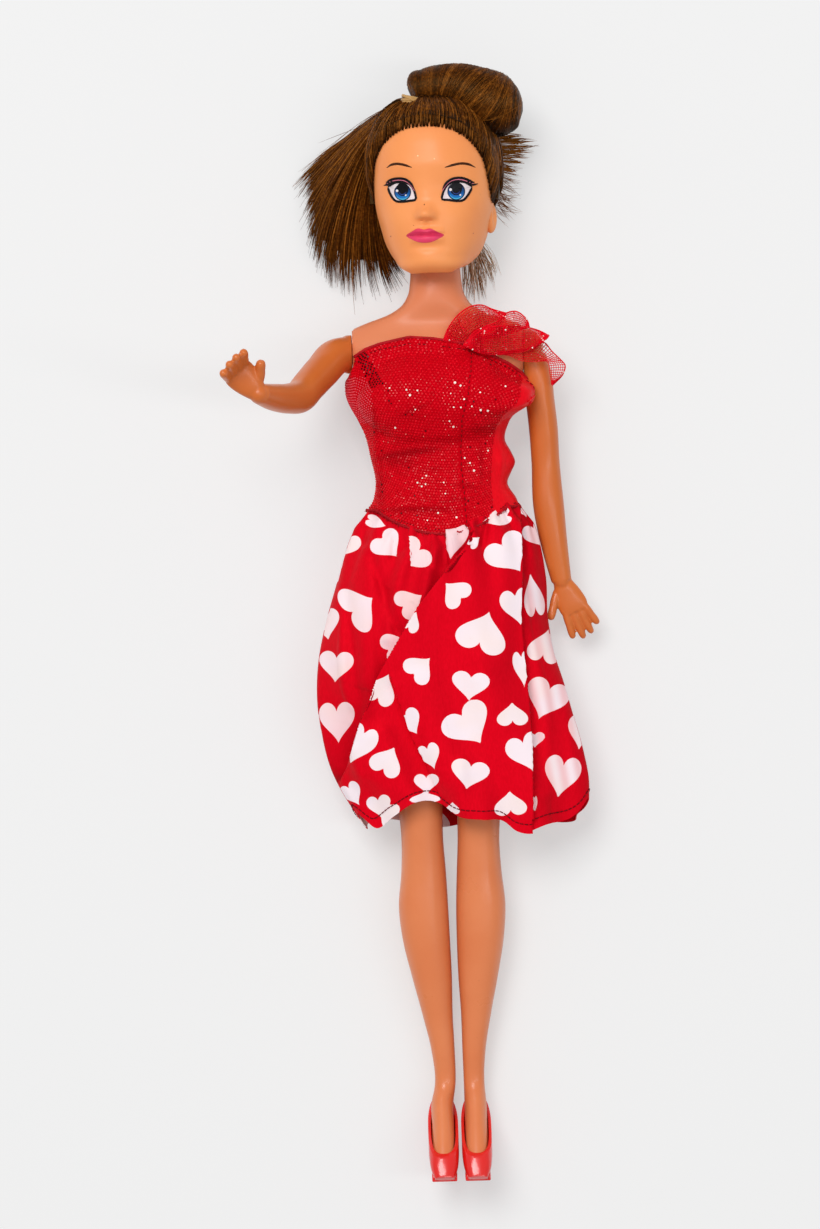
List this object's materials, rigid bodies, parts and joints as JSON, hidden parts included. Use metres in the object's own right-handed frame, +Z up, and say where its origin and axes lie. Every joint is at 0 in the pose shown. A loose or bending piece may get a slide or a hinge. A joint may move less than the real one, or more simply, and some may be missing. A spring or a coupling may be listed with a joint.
{
  "type": "fashion doll",
  "caption": "Jointed play doll lying on its back, with rooted hair, a foil bodice with a net shoulder ruffle, a satin skirt with hearts, and pull-off pumps.",
  "frame": {"origin": "on the surface that the doll lies on, straight below the middle of its hip axis", "axes": "+Z up from the surface, out of the doll's front; +Y along the body from the hips towards the head; +X towards the doll's left"},
  "size_m": [0.0992, 0.3007, 0.0712],
  "materials": {
    "body": "hard skin-coloured plastic",
    "leg": "smooth skin-coloured plastic",
    "arm": "soft orange-tan vinyl",
    "face": "painted soft vinyl",
    "plastic": "natural nylon",
    "hair": "rooted synthetic hair",
    "band": "tan elastic",
    "foil": "red knit with foil dots",
    "satin": "red satin with white hearts",
    "mesh": "sheer glitter net",
    "shoe": "glossy red vinyl",
    "strip": "hook and loop tape"
  },
  "bodies": {
    "torso": {"torso_front_shell": "body", "torso_back_shell": "body", "hip_pin": "plastic", "bodice_front_panel": "foil", "bodice_princess_panel": "foil", "bodice_side_panel": "satin", "bodice_back_right_panel": "foil", "bodice_back_left_panel": "foil", "closure_loop_strip": "strip", "closure_hook_strip": "strip", "shoulder_ruffle": "mesh", "skirt": "satin"},
    "neck": {"neck_knob": "plastic"},
    "head": {"head_shell": "face", "hair_cap": "hair", "hair_bun": "hair", "hair_band": "band", "hair_tail": "hair", "hair_side_tuft": "hair", "hair_nape_tuft": "hair"},
    "right_arm": {"right_arm": "arm"},
    "left_arm": {"left_arm": "arm"},
    "right_leg": {"right_leg": "leg"},
    "left_leg": {"left_leg": "leg"},
    "right_shoe": {"right_shoe": "shoe"},
    "left_shoe": {"left_shoe": "shoe"}
  },
  "joints": [
    {"name": "neck_turn", "type": "hinge", "parent": "torso", "child": "neck", "pos_m": [0, 0.0672, 0.016], "axis": [0, 1, 0], "range_deg": [-85, 85]},
    {"name": "neck_nod", "type": "hinge", "parent": "neck", "child": "head", "pos_m": [0, 0.0935, 0.016], "axis": [1, 0, 0], "range_deg": [-10, 8]},
    {"name": "shoulder_right", "type": "hinge", "parent": "torso", "child": "right_arm", "pos_m": [-0.0233, 0.063, 0.016], "axis": [-1, 0, 0], "continuous": true},
    {"name": "shoulder_left", "type": "hinge", "parent": "torso", "child": "left_arm", "pos_m": [0.0233, 0.063, 0.016], "axis": [-1, 0, 0], "continuous": true, "deforming": ["shoulder_ruffle"]},
    {"name": "hip_right", "type": "hinge", "parent": "torso", "child": "right_leg", "pos_m": [-0.003, 0, 0.016], "axis": [-1, 0, 0], "range_deg": [-20, 90], "deforming": ["skirt"]},
    {"name": "hip_left", "type": "hinge", "parent": "torso", "child": "left_leg", "pos_m": [0.003, 0, 0.016], "axis": [-1, 0, 0], "range_deg": [-20, 90], "deforming": ["skirt"]},
    {"name": "shoe_right_pull", "type": "slide", "parent": "right_leg", "child": "right_shoe", "axis": [0, -0.8829, 0.4695], "range_m": [0, 0.025]},
    {"name": "shoe_left_pull", "type": "slide", "parent": "left_leg", "child": "left_shoe", "axis": [0, -0.8829, 0.4695], "range_m": [0, 0.025]}
  ]
}
